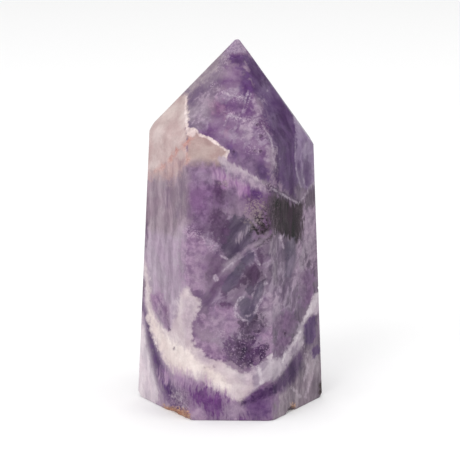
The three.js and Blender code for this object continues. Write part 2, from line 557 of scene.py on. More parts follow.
@dataclass(frozen=True)
class Streak(Shape):
    """An open path, with a width at its start and one at its end."""

    path: Places
    start_width: float = 1.6
    end_width: float = 1.6

    def depth(self, places: np.ndarray) -> np.ndarray:
        """How far inside the streak each place is, and negative outside."""
        path = np.array(self.path, float)
        half = np.linspace(self.start_width, self.end_width, len(path)) / 2
        deepest = np.full(len(places), -np.inf)
        for index in range(len(path) - 1):
            distance, share = to_segment(places, path[index], path[index + 1])
            deepest = np.maximum(deepest, half[index] + share * (half[index + 1] - half[index]) - distance)
        return deepest


@dataclass(frozen=True)
class Dots(Shape):
    """Round dots of one size."""

    middles: Places
    size: float = 2.4

    def depth(self, places: np.ndarray) -> np.ndarray:
        """How far inside the nearest dot each place is, and negative outside."""
        distances = [np.linalg.norm(places - np.array(middle, float), axis=1) for middle in self.middles]
        return self.size / 2 - np.minimum.reduce(distances)


@dataclass(frozen=True)
class Marking:
    """A marking of the stone: its shapes, the two tones that it mixes, and how its edge looks.

    mix is the pattern that its two tones follow. soft is the width over which it fades in and fray is how far
    its edge wanders, both in millimetres, and edge is the pattern of that wander. strength is how much of it
    covers what lies beneath. cover is how much of its area it fills: 1 is solid, and less leaves only flecks
    of the pattern that flecks names.
    """

    name: str
    shapes: tuple[Shape, ...]
    dark: Seen
    light: Seen
    mix: Grain = Grain.MOTTLE
    soft: float = 0.8
    fray: float = 0.5
    edge: Grain = Grain.MOTTLE
    strength: float = 1.0
    cover: float = 1.0
    flecks: Grain = Grain.FROST

    def depth(self, places: np.ndarray) -> np.ndarray:
        """How far inside its nearest shape each place is, in picture steps, and negative outside."""
        return np.maximum.reduce([shape.depth(places) for shape in self.shapes])


# Each face's base tone is partly the stone's own colour and partly painted light: the left faces are painted
# lighter and the right faces darker, as the light falls on the stone from the left.
FACE_TONES_AND_PAINTED_LIGHT = (
    Marking("left_slope", (
        Patch(((150, 128), (187, 150), (200, 142), (214, 112), (226, 72), (239, 34), (222, 44), (186, 80))),
    ), (114, 99, 120), (144, 127, 143), Grain.CLOUD, 3.0, 1.5),
    Marking("middle_slope", (
        Patch(((239, 34), (226, 72), (214, 112), (200, 142), (187, 150), (228, 168), (262, 186), (276, 162),
               (268, 130), (256, 98), (247, 74), (243, 52))),
    ), (106, 82, 115), (146, 120, 148), Grain.CLOUD, 2.4, 1.6),
    # painted shade: the right slope's tones are darker than the stone's own, as it faces away from the light
    Marking("right_slope", (
        Patch(((243, 50), (247, 74), (256, 98), (268, 130), (276, 162), (282, 190), (300, 198), (318, 180),
               (316, 134), (290, 98), (262, 60))),
    ), (82, 63, 95), (114, 93, 127), Grain.CLOUD, 1.8, 1.2),
    # painted light: the left face's tones are lighter than the stone's own, as it faces the light
    Marking("left_face", (
        Patch(((140, 150), (187, 150), (188, 300), (188, 424), (130, 410))),
    ), (153, 136, 153), (177, 159, 176), Grain.STREAK, 2.0, 1.0),
    Marking("left_face_top", (
        Patch(((140, 170), (187, 166), (187, 215), (170, 226), (140, 222))),
    ), (139, 121, 136), (162, 144, 155), Grain.STREAK, 3.0, 1.5),
    # painted shade: the right face's tones are darker than the stone's own, as it faces away from the light
    Marking("right_face", (
        Patch(((270, 190), (322, 176), (328, 400), (272, 426))),
    ), (88, 74, 92), (130, 114, 131), Grain.STREAK, 1.6, 1.0),
)

SHADES = (
    Marking("slanted_growth", (
        Patch(((190, 232), (222, 214), (272, 232), (300, 246), (304, 320), (276, 352), (214, 344),
               (196, 300))),
    ), (84, 70, 92), (146, 128, 149), Grain.SLANT, 4.0, 1.5, strength=0.6),
    Marking("pale_wisps", (
        Patch(((190, 212), (222, 200), (262, 232), (300, 246), (318, 290), (300, 340), (276, 372), (214, 350),
               (196, 320), (186, 270))),
        Patch(((200, 112), (228, 86), (250, 94), (270, 130), (276, 160), (262, 168), (226, 140), (198, 126))),
    ), (146, 130, 150), (180, 165, 180), soft=3.0, fray=1.5, strength=0.5, cover=0.35, flecks=Grain.SLANT),
    Marking("violet_shade", (
        Patch(((233, 101), (246, 99), (250, 116), (244, 119), (231, 117))),
        Patch(((199, 134), (210, 131), (222, 136), (232, 145), (237, 153), (229, 151), (219, 144),
               (209, 137))),
        Patch(((236, 152), (252, 149), (264, 155), (271, 168), (270, 186), (256, 179), (240, 169),
               (231, 160))),
        Patch(((190, 167), (212, 166), (224, 171), (219, 180), (205, 183), (193, 178))),
        Patch(((299, 272), (309, 268), (315, 285), (313, 306), (303, 304), (299, 290))),
        Patch(((273, 315), (288, 311), (297, 322), (293, 334), (281, 338), (274, 328))),
        Patch(((275, 340), (288, 333), (293, 342), (286, 356), (278, 358), (273, 350))),
        Patch(((190, 216), (206, 214), (212, 226), (206, 238), (192, 230))),
    ), (96, 72, 106), (132, 106, 138), Grain.MOTTLE, 2.0, 1.2, strength=0.85),
    Marking("dark_slope", (
        Patch(((270, 116), (288, 100), (296, 126), (296, 158), (297, 186), (296, 199), (280, 190), (272, 166),
               (272, 146))),
        Patch(((247, 56), (258, 66), (270, 84), (262, 88), (252, 76))),
    ), (72, 52, 84), (98, 78, 110), Grain.STREAK, 2.0, 1.0, strength=0.9),
    Marking("violet_depth", (
        Patch(((228, 54), (238, 53), (247, 54), (248, 62), (240, 68), (230, 65))),
        Patch(((241, 66), (247, 70), (251, 86), (250, 101), (245, 105), (241, 92))),
        Patch(((226, 145), (233, 149), (238, 154), (232, 157), (229, 152))),
        Patch(((255, 164), (263, 163), (270, 171), (270, 184), (262, 183), (256, 176))),
        Patch(((198, 168), (209, 167), (210, 173), (200, 175))),
        Patch(((234, 178), (246, 184), (256, 189), (264, 195), (260, 201), (246, 198), (236, 190))),
        Patch(((303, 164), (309, 163), (312, 174), (308, 185), (303, 178))),
        Patch(((221, 101), (227, 101), (229, 110), (225, 115), (220, 109))),
    ), (74, 52, 90), (104, 80, 118), Grain.MOTTLE, 1.4, 0.8, strength=0.85),
    Marking("grey_shade", (
        Patch(((222, 224), (240, 212), (258, 222), (254, 246), (240, 262), (226, 260), (219, 244))),
        Patch(((246, 252), (256, 250), (250, 268), (238, 284), (226, 296), (222, 288), (234, 270))),
        Patch(((248, 282), (262, 280), (264, 290), (254, 298), (247, 292))),
        Patch(((238, 300), (246, 296), (253, 301), (253, 314), (247, 320), (239, 315))),
        Patch(((168, 196), (180, 192), (186, 214), (178, 224), (168, 214))),
    ), (74, 64, 82), (108, 96, 114), Grain.SLANT, 1.3, 0.8, strength=0.95),
    Marking("pink_shade", (
        Patch(((189, 229), (198, 236), (206, 243), (216, 250), (220, 264), (215, 286), (200, 292), (186, 288),
               (180, 266), (181, 238))),
        Patch(((204, 312), (220, 303), (238, 311), (242, 326), (232, 340), (214, 340), (203, 328))),
        Patch(((214, 168), (228, 170), (232, 178), (226, 186), (216, 182))),
        Patch(((193, 336), (204, 338), (216, 344), (226, 352), (224, 362), (208, 358), (198, 350))),
        Patch(((222, 166), (226, 178), (224, 196), (214, 196), (212, 178))),
        Patch(((262, 330), (272, 326), (274, 350), (266, 362), (256, 356))),
    ), (130, 105, 134), (168, 143, 166), Grain.MOTTLE, 1.6, 1.2, strength=0.8),
    Marking("slate_shade", (
        Patch(((206, 252), (222, 252), (228, 268), (224, 290), (212, 296), (206, 280))),
        Patch(((194, 212), (208, 206), (214, 224), (208, 238), (196, 230))),
    ), (98, 78, 102), (134, 112, 136), Grain.SLANT, 2.0, 1.2, strength=0.85),
    Marking("pale_shade", (
        Patch(((292, 250), (299, 240), (306, 255), (306, 272), (299, 290), (292, 284))),
        Patch(((300, 204), (318, 200), (320, 268), (306, 262), (302, 240))),
        Patch(((264, 296), (278, 294), (280, 318), (268, 324), (263, 312))),
        Patch(((242, 119), (254, 119), (253, 135), (246, 141), (241, 134))),
        Patch(((252, 101), (258, 98), (263, 104), (263, 112), (257, 117), (252, 110))),
        Patch(((266, 146), (276, 147), (277, 166), (269, 168))),
        Patch(((196, 100), (208, 92), (214, 100), (204, 116), (196, 126), (190, 118))),
    ), (136, 118, 138), (172, 154, 170), Grain.MOTTLE, 1.6, 1.0, strength=0.75),
    Marking("rose_shade", (
        Patch(((210, 100), (222, 101), (230, 108), (226, 118), (214, 116), (208, 110))),
        Dots(((226, 131),), 5.0),
    ), (124, 92, 122), (156, 126, 148), Grain.MOTTLE, 2.0, 1.0, strength=0.6),
    # Partly the stone's own beige haze and partly painted sheen: a pale streak along the left slope's outer
    # edge, where the polish catches the light.
    Marking("beige_rim_and_sheen", (
        Streak(((230, 44), (210, 64), (190, 84)), 8.0, 15.0),
    ), (144, 130, 140), (176, 162, 166), Grain.STREAK, 2.0, 1.0, strength=0.75),
    Marking("tip_frost", (
        Patch(((239, 33), (246, 42), (253, 53), (243, 53), (237, 55), (229, 54), (220, 58), (228, 44))),
    ), (134, 118, 140), (168, 152, 168), Grain.FROST, 0.9, 0.6),
    Marking("right_window", (
        Patch(((294, 118), (300, 108), (312, 128), (322, 140), (322, 184), (312, 192), (302, 188), (297, 173),
               (295, 158), (297, 145), (296, 132)), 0),
    ), (106, 89, 117), (146, 130, 154), Grain.STREAK, 0.5, 0.2),
    Marking("window_grey", (
        Patch(((301, 152), (306, 142), (311, 136), (322, 134), (322, 154), (313, 153), (305, 157)), 0),
        Patch(((294, 118), (300, 114), (308, 126), (304, 138), (297, 140)), 0),
        Streak(((318, 152), (316, 170), (317, 186)), 5.0, 5.0),
    ), (138, 123, 146), (164, 151, 170), Grain.CLOUD, 0.8, 0.3, strength=0.8),
    Marking("window_dark", (
        Patch(((302, 164), (308, 160), (313, 170), (313, 180), (308, 190), (302, 184))),
        Patch(((296, 158), (302, 162), (303, 188), (298, 182))),
    ), (86, 67, 98), (112, 92, 122), Grain.CLOUD, 1.1, 0.5, strength=0.8),
)

PEACH = (
    Marking("peach_fade", (
        Patch(((140, 150), (187, 150), (224, 158), (214, 166), (192, 170), (180, 178), (160, 182),
               (140, 180))),
    ), (168, 142, 144), (196, 170, 166), Grain.STREAK, 2.2, 1.2, strength=0.8),
    Marking("peach_face", (
        Patch(((188, 92), (160, 100), (140, 118), (130, 150), (134, 170), (156, 170), (170, 160), (187, 160),
               (188, 150), (187, 128))),
    ), (180, 158, 158), (206, 186, 184), Grain.CLOUD, 1.0, 0.5),
    Marking("peach_slope", (
        Patch(((188, 92), (160, 100), (140, 118), (146, 130), (160, 128), (178, 122), (186, 112))),
    ), (174, 156, 156), (200, 182, 178), Grain.CLOUD, 2.0, 0.8, strength=0.8),
    Marking("peach_wedge", (
        Patch(((187, 128), (194, 128.5), (199, 134), (209, 137.5), (219, 144), (229, 151), (226, 158),
               (222, 168), (206, 172), (187, 174))),
    ), (162, 138, 138), (184, 160, 156), Grain.CLOUD, 0.5, 0.2),
    Marking("peach_rim", (
        Streak(((186.6, 97), (186, 105), (185.5, 112), (186.4, 122), (187, 129)), 1.6, 2.6),
        Streak(((187, 128.6), (194, 128.6), (199, 134.4), (209, 138.2), (219, 145), (227.4, 151)), 2.4, 2.2),
        Streak(((228, 151.6), (224.5, 157), (222, 163)), 3.6, 4.0),
        Patch(((187, 128), (194, 128), (197, 134), (191, 138), (186, 134))),
    ), (204, 184, 184), (232, 216, 214), Grain.MOTTLE, 0.35, 0.15, strength=0.85),
    Marking("peach_vein", (
        Streak(((190, 138), (183, 147), (176, 152), (171, 159), (164, 166), (156, 171)), 4.0, 2.4),
        Streak(((187, 142), (187, 164)), 2.0, 2.0),
    ), (176, 128, 124), (202, 166, 160), Grain.FROST, 1.0, 0.6, strength=0.6),
    Marking("rust_flecks", (
        Dots(((189.3, 140.4), (176.7, 149.3), (171.0, 158.2), (184, 145)), 2.0),
        Streak(((160, 195), (154, 209), (149, 217)), 1.4, 1.2),
    ), (156, 100, 98), (180, 130, 120), Grain.FROST, 1.2, 0.4, strength=0.45),
    Marking("below_wedge", (
        Patch(((187, 169), (196, 167), (210, 166), (224, 168), (232, 177), (238, 190), (232, 204), (216, 210),
               (206, 224), (188, 232)), 0),
    ), (106, 82, 112), (144, 118, 148), Grain.MOTTLE, 2.8, 1.2, Grain.CLOUD),
    Marking("below_peach", (
        Patch(((124, 178), (150, 182), (164, 181), (176, 177), (188, 174), (188, 236), (124, 226))),
    ), (134, 116, 130), (166, 148, 159), Grain.STREAK, 3.6, 1.2, Grain.CLOUD),
    Marking("bright_violet", (
        Patch(((196, 167), (222, 168), (230, 178), (226, 192), (214, 188), (202, 178))),
        Patch(((190, 184), (204, 186), (208, 206), (196, 214), (188, 204))),
    ), (130, 102, 134), (160, 134, 161), Grain.CLOUD, 2.4, 1.6, Grain.STREAK, 0.6),
    Marking("under_band", (
        Patch(((214, 167), (226, 169), (238, 177), (251, 187), (249, 195), (234, 191), (221, 186),
               (212, 177))),
    ), (140, 104, 144), (180, 148, 177), Grain.FIBRE, 2.2, 1.2, Grain.STREAK, 0.8),
    Marking("slit_shadow", (
        Streak(((181, 176), (181, 190), (180, 204), (177, 216)), 3.0, 4.0),
        Streak(((188, 190), (190, 204), (189, 218)), 2.4, 3.0),
        Streak(((214, 190), (213, 206), (215, 222)), 5.0, 6.0),
        Streak(((227, 192), (232, 201), (236, 212)), 3.0, 5.0),
        Streak(((168, 188), (167, 206)), 2.0, 2.6),
    ), (94, 74, 98), (126, 106, 128), Grain.FIBRE, 1.8, 0.6, Grain.FIBRE, 0.75),
)

UPPER_BAND = (
    Marking("upper_band", (
        Patch(((220, 160), (226, 161), (236.7, 167), (250, 173.5), (259.3, 179.4), (267.3, 184), (272, 188),
               (267, 193.5), (257, 189.5), (245, 183.5), (233, 178.5), (223, 171))),
    ), (134, 116, 138), (172, 154, 169), Grain.MOTTLE, 1.6, 0.5, Grain.FIBRE),
    Marking("band_crest", (
        Streak(((226.5, 161.5), (237, 168.2), (250, 174.8), (259, 180.6), (267, 185)), 3.4, 3.0),
        Streak(((222, 159), (229, 164.5), (238, 170)), 7.0, 5.0),
        Dots(((269.2, 187),), 5.0),
    ), (154, 137, 153), (190, 173, 184), Grain.CLOUD, 0.7, 0.3, Grain.FIBRE, 0.85),
    Marking("thin_band", (
        Streak(((271, 189), (279, 193), (287, 197), (296, 202), (300, 204)), 7.0, 4.0),
    ), (74, 60, 80), (104, 89, 107), Grain.FROST, 1.1, 0.4),
    Marking("thin_rise", (
        Streak(((270, 187.5), (279, 192.5), (288, 197.5), (296, 202), (299, 204)), 1.6, 1.5),
        Streak(((298.5, 204), (303, 198), (310, 188), (318, 178)), 2.0, 1.8),
    ), (140, 126, 142), (176, 164, 176), Grain.FROST, 0.4, 0.2, strength=0.85),
    Marking("window_lines", (
        Streak(((294, 117), (296, 132), (295.6, 145), (294.8, 158), (296.6, 173), (301, 187)), 1.5, 1.4),
        Streak(((302, 152), (305, 145), (309, 138)), 1.4, 1.3),
        Streak(((302.6, 163), (302, 174), (305, 186), (309, 188)), 1.4, 1.3),
    ), (140, 124, 148), (174, 160, 178), Grain.MOTTLE, 0.35, 0.12, strength=0.6),
)

MIDDLE = (
    Marking("plum_patches", (
        Patch(((243, 269), (256, 267), (263, 272), (260, 281), (248, 284), (243, 278))),
        Streak(((243, 279), (234, 286), (226, 291)), 6.0, 4.0),
        Patch(((217, 302), (230, 300), (233, 306), (220, 308))),
        Streak(((258, 246), (261, 258), (262, 272)), 7.0, 4.0),
        Patch(((212, 212), (224, 206), (230, 226), (224, 246), (214, 240), (209, 226))),
        Patch(((216, 178), (224, 184), (226, 202), (218, 206), (213, 192))),
    ), (66, 48, 72), (98, 77, 102), Grain.MOTTLE, 1.4, 0.9, strength=0.85),
    Marking("ink_spots", (
        Dots(((218, 210), (212, 236)), 5.0),
        Patch(((140, 218), (146, 220), (146, 246), (140, 248))),
        Streak(((248, 196), (256, 212), (262, 226)), 3.0, 8.0),
        Streak(((262, 182), (268, 186)), 3.0, 3.0),
    ), (66, 50, 72), (100, 80, 104), Grain.FIBRE, 1.4, 0.9, Grain.FIBRE, 0.75),
    Marking("smoky_panel", (
        Patch(((271, 195), (284, 199), (297, 206), (303, 200), (303, 217), (302, 232), (299, 241), (293, 240),
               (286, 236), (280, 233), (273.5, 231), (268, 222), (269, 205))),
    ), (32, 23, 31), (64, 51, 62), Grain.STREAK, 1.1, 0.7, Grain.FIBRE),
    Marking("panel_streaks", (
        Streak(((275, 199), (275.5, 212), (277, 226)), 4.0, 6.0),
        Streak(((283, 202), (284, 214), (284, 228)), 2.4, 2.0),
        Streak(((300, 208), (300.6, 222), (299, 234)), 2.0, 1.6),
    ), (70, 60, 67), (94, 83, 90), Grain.FIBRE, 1.6, 0.8, Grain.FIBRE, 0.5),
    Marking("panel_fringe", (
        Patch(((258, 207), (266, 200), (274, 198), (274, 238), (264, 242), (255, 232), (252, 218))),
    ), (50, 42, 50), (100, 87, 96), Grain.FROST, 2.4, 1.2, Grain.FROST, 0.8, 0.75, Grain.MOTTLE),
    Marking("panel_corner", (
        Patch(((304, 192), (313, 184), (322, 184), (322, 202), (310, 208), (305, 206))),
        Streak(((272, 196), (270, 214), (271, 230)), 3.0, 3.0),
    ), (72, 60, 74), (106, 94, 105), Grain.FIBRE, 1.2, 0.7, Grain.FIBRE, 0.8),
    Marking("green_flecks", (
        Patch(((248, 216), (270, 212), (271, 238), (262, 246), (250, 240))),
        Patch(((240, 326), (253, 326), (254, 338), (244, 340))),
        Streak(((273, 232), (264, 240), (256, 246)), 5.0, 4.0),
    ), (34, 30, 34), (70, 62, 68), Grain.FROST, 1.2, 0.8, Grain.FROST, 0.9, 0.5, Grain.MOTTLE),
    Marking("cream_flecks", (
        Patch(((244, 200), (262, 198), (265, 214), (258, 226), (244, 220))),
        Dots(((225, 182), (170, 185)), 5.0),
    ), (122, 106, 115), (164, 148, 151), Grain.FROST, 2.0, 1.0, Grain.MOTTLE, 0.6, 0.6),
    Marking("grey_strips", (
        Streak(((238, 240), (248, 228)), 5.0, 3.0),
        Streak(((256, 284), (262, 291), (257, 304)), 2.2, 1.8),
        Streak(((275, 242), (275.5, 287)), 2.4, 2.0),
        Streak(((270, 238), (272, 262)), 2.0, 2.0),
        Streak(((254, 312), (252, 318)), 2.0, 1.6),
        Streak(((304, 244), (301, 268)), 2.0, 2.0),
    ), (122, 108, 122), (158, 144, 158), Grain.FIBRE, 0.9, 0.5, Grain.FIBRE, 0.75),
    Marking("pale_arch", (
        Streak(((225, 266), (234, 260), (246, 250), (258.5, 243), (267, 235), (272, 231.6)), 4.4, 2.6),
        Streak(((222, 272), (228, 266)), 2.0, 4.0),
    ), (126, 111, 128), (164, 148, 163), Grain.SLANT, 1.2, 0.4, strength=0.8),
    Marking("pale_lines", (
        Streak(((219, 254), (227, 259)), 1.4, 1.2),
        Streak(((280.5, 236), (283, 248)), 1.6, 1.4),
        Streak(((236, 317), (234.6, 309), (237, 302), (243, 297)), 2.0, 2.4),
        Patch(((212, 275.5), (215.6, 274.2), (218.4, 277), (219, 281), (215, 281.4), (213.4, 278)), 0),
        Dots(((245, 347), (242, 370), (261.5, 252), (250, 266), (285, 101.5), (267, 91), (251, 128)), 2.0),
        Streak(((229, 114), (223.5, 128)), 1.4, 1.2),
        Streak(((248, 91), (242, 113)), 1.4, 1.2),
        Streak(((251, 94), (245, 112)), 1.3, 1.2),
        Streak(((263, 126), (271, 139), (275, 163)), 2.0, 1.6),
        Streak(((224, 91.5), (230, 95), (236, 96.5), (243, 98)), 1.8, 1.6),
        Streak(((230, 115.5), (237, 116.5), (244, 120)), 1.8, 1.6),
        Streak(((262.6, 279), (260, 290), (254, 305)), 1.6, 1.4),
        Streak(((222, 271), (236, 261), (250, 252.5), (262, 246)), 1.4, 1.2),
        Streak(((258, 282), (252, 297), (247, 321)), 1.4, 1.2),
    ), (156, 139, 158), (198, 183, 196), Grain.FROST, 0.4, 0.2, strength=0.6),
    Marking("granules", (
        Streak(((213, 86), (222, 92), (229, 96), (241, 98)), 4.0, 2.6),
        Streak(((228, 114), (236, 116), (246, 121), (254, 122)), 4.0, 5.0),
        Streak(((187, 230), (198, 235), (206, 242), (215, 249)), 6.0, 3.0),
        Dots(((224, 62), (220, 67), (250, 149), (257, 150), (222, 334), (270, 186)), 4.6),
        Patch(((256, 120), (264, 121), (266, 136), (258, 138))),
        Patch(((240, 318), (262, 312), (264, 328), (254, 334), (246, 326))),
    ), (154, 134, 154), (196, 178, 192), Grain.MOTTLE, 1.4, 0.8, Grain.FROST, 0.5, 0.45),
    Marking("dark_cluster", (
        Patch(((223, 344), (232, 336), (243, 334), (252, 341), (262, 350), (264, 360), (254, 364), (247, 374),
               (238, 367), (230, 363), (227, 353)), 0),
        Patch(((258, 122), (264, 124), (265, 134), (260, 136))),
    ), (58, 40, 66), (112, 88, 118), Grain.MOTTLE, 1.5, 1.6, strength=0.9),
    Marking("cluster_slate", (
        Patch(((240, 318), (249, 311), (262, 317), (264, 328), (252, 338), (241, 335)), 0),
    ), (56, 46, 62), (104, 90, 108), Grain.SLANT, 1.4, 1.4, strength=0.85),
    Marking("cluster_heart", (
        Patch(((242, 348), (251, 349), (252, 358), (248, 366), (242, 360)), 0),
        Patch(((256, 344), (266, 346), (268, 356), (260, 362)), 0),
    ), (46, 32, 56), (92, 70, 100), Grain.SLANT, 1.2, 1.4, strength=0.85),
    Marking("cluster_specks", (
        Patch(((252, 338), (270, 330), (273, 352), (262, 366), (252, 362))),
        Patch(((226, 346), (240, 338), (250, 344), (248, 368), (236, 364))),
    ), (142, 118, 147), (178, 157, 178), Grain.MOTTLE, 1.8, 1.4, Grain.MOTTLE, 0.55, 0.22),
    Marking("slate_facets", (
        Patch(((248, 250), (257, 255), (247, 270), (236, 283), (227, 293), (221, 288), (230, 274),
               (240, 261)), 0),
        Patch(((237, 300), (246, 294.6), (255, 300), (256, 314), (249, 324), (239, 317)), 0),
        Patch(((287, 243), (295, 238), (296.6, 256), (291, 278), (284.6, 276)), 0),
        Patch(((257, 283), (264, 280), (265, 290), (258, 305), (254, 300)), 0),
    ), (88, 79, 98), (114, 103, 121), Grain.SLANT, 0.8, 0.4, strength=0.75),
    Marking("pink_facets", (
        Patch(((299, 275), (306, 270), (314, 282), (313, 304), (304, 306), (299, 291)), 0),
        Patch(((274, 316), (288, 312), (297, 322), (293, 335), (281, 338), (274, 329)), 0),
        Patch(((275, 341), (288, 335), (292, 342), (286, 356), (278, 358), (274, 350)), 0),
    ), (106, 84, 110), (128, 106, 130), Grain.MOTTLE, 0.9, 0.5, strength=0.7),
    Marking("plum_facet", (
        Patch(((242, 267), (256, 264), (264, 271), (263, 280), (255, 285), (245, 283), (240, 276))),
    ), (66, 51, 70), (100, 81, 103), Grain.SLANT, 1.8, 1.0, strength=0.7),
    Marking("facet_lines", (
        Streak(((248, 323), (239.5, 317), (236, 309), (238, 301), (244, 296)), 1.6, 2.2),
        Streak(((266, 283), (264.5, 294), (259, 304), (255, 313)), 1.8, 1.4),
        Streak(((254, 250), (258, 262), (266, 276)), 1.4, 1.2),
        Streak(((242, 318), (250, 315), (258, 311)), 2.0, 1.6),
    ), (142, 126, 146), (190, 176, 189), Grain.FROST, 0.5, 0.35, strength=0.65),
)

MAIN_BAND = (
    Marking("left_strip", (
        Patch(((124, 296), (142, 299), (145, 320), (149, 345), (154, 374), (162, 406), (124, 404))),
    ), (190, 176, 188), (219, 206, 212), Grain.STREAK, 1.0, 0.5),
    Marking("foot_violet", (
        Patch(((166, 376), (182, 376), (198, 380), (210, 385), (221, 393), (232, 400), (244, 402), (256, 394),
               (266, 388), (280, 388), (280, 430), (176, 430))),
    ), (118, 94, 125), (150, 125, 152), Grain.CLOUD, 2.4, 1.2, Grain.FIBRE),
    Marking("violet_stripe", (
        Streak(((141.6, 300), (146.6, 319), (151.4, 340), (156.4, 359), (163, 378), (170, 391), (178, 402)),
               4.0, 15.0),
    ), (68, 46, 84), (102, 77, 116), Grain.MOTTLE, 2.2, 0.4),
    Marking("right_band", (
        Patch(((240, 400), (247, 397), (252.5, 391), (259, 387), (270, 382), (275, 381), (283, 374),
               (291, 361.5), (300, 350), (305, 337), (305, 327), (309, 318), (326, 308), (328, 288),
               (318, 294), (315, 301.5), (307.3, 313), (299.6, 324.5), (294.5, 337), (287, 347.4),
               (280.5, 359), (269, 357), (265, 360), (257.6, 366.6), (251, 371.7), (242, 373))),
    ), (144, 130, 146), (186, 172, 183), Grain.SLANT, 1.1, 0.5, Grain.MOTTLE),
    Marking("left_band", (
        Patch(((132, 256), (143, 259), (145, 290), (146.6, 314), (151.7, 331), (155.5, 343.6), (160.6, 355),
               (168, 366.6), (173.4, 374.5), (181, 377), (191, 378.5), (201.4, 381.5), (209, 386.5),
               (218, 391.5), (227, 398), (238.4, 402), (247, 398), (252, 390), (254, 380), (250, 373),
               (239.7, 373), (232, 368), (224.4, 362), (216.7, 360.6), (206.5, 358), (201.4, 350.5),
               (192.5, 344), (191.9, 331), (193, 319.6), (196.3, 314.3), (199.5, 306.6), (199.5, 299),
               (190, 294), (187.4, 286), (181, 292.6), (179, 297), (178, 311), (171, 326), (168, 331),
               (158, 319), (152.6, 307), (150, 288), (148, 272), (144, 258))),
    ), (190, 174, 181), (213, 198, 201), Grain.CLOUD, 1.1, 0.4),
    Marking("band_heart", (
        Patch(((148, 306), (156, 322), (168, 338), (182, 346), (196, 358), (208, 366), (204, 374), (184, 372),
               (166, 362), (156, 342), (149, 322))),
        Patch(((200, 363), (214, 369), (226, 379), (231, 392), (218, 387), (206, 378))),
    ), (218, 204, 201), (237, 224, 219), Grain.CLOUD, 1.8, 0.6, strength=0.9),
    Marking("notch_violet", (
        Patch(((151, 294), (163, 292), (168, 305), (170, 317), (170.4, 333), (163, 325), (156, 315),
               (151, 304))),
    ), (126, 100, 130), (166, 142, 164), Grain.MOTTLE, 1.0, 0.6),
    Marking("notch_dark", (
        Streak(((165, 308), (168, 320), (169.6, 330)), 3.0, 2.0),
    ), (88, 66, 92), (118, 96, 120), Grain.MOTTLE, 0.9, 0.4, strength=0.8),
    Marking("band_haze", (
        Patch(((171, 304), (178, 301), (178, 312), (171, 326), (170, 314))),
        Patch(((183, 296), (198, 300), (196, 314), (190, 340), (184, 336), (182, 312))),
        Patch(((236, 372), (256, 368), (252, 384), (244, 388), (236, 380))),
        Patch(((196, 352), (204, 352), (212, 362), (202, 364))),
    ), (158, 142, 158), (196, 180, 190), Grain.MOTTLE, 1.6, 0.8, strength=0.6),
    Marking("rose_band", (
        Streak(((168, 377), (180, 379), (194, 382), (206, 388), (218, 396), (230, 403)), 13.0, 10.0),
    ), (144, 116, 149), (186, 160, 182), Grain.FIBRE, 2.8, 1.4, Grain.FIBRE, 0.75),
    Marking("band_edge_shade", (
        Streak(((246, 404), (256, 397), (268, 391), (280, 388)), 6.0, 6.0),
    ), (112, 88, 124), (146, 122, 152), Grain.FIBRE, 1.8, 0.8, Grain.FIBRE, 0.8),
    Marking("band_glint", (
        Patch(((267.6, 357), (272, 353.6), (273.4, 376), (268.6, 381)), 0),
        Streak(((318, 296), (310, 311), (303, 322)), 8.0, 3.0),
        Streak(((300, 332), (292, 346), (282, 362)), 2.4, 2.0),
        Streak(((258, 368), (262, 382)), 3.0, 5.0),
    ), (184, 171, 182), (216, 206, 211), Grain.STREAK, 0.7, 0.3, strength=0.85),
    Marking("band_specks", (
        Dots(((204, 367.6), (214.7, 367), (174.4, 348.5), (168.6, 329)), 2.0),
        Streak(((143.9, 280), (143.6, 296)), 2.6, 2.0),
        Dots(((283.4, 331.5),), 2.4),
        Streak(((142, 297), (141.4, 312)), 2.4, 1.6),
    ), (70, 52, 74), (112, 94, 116), Grain.FROST, 0.6, 0.3, strength=0.75),
)

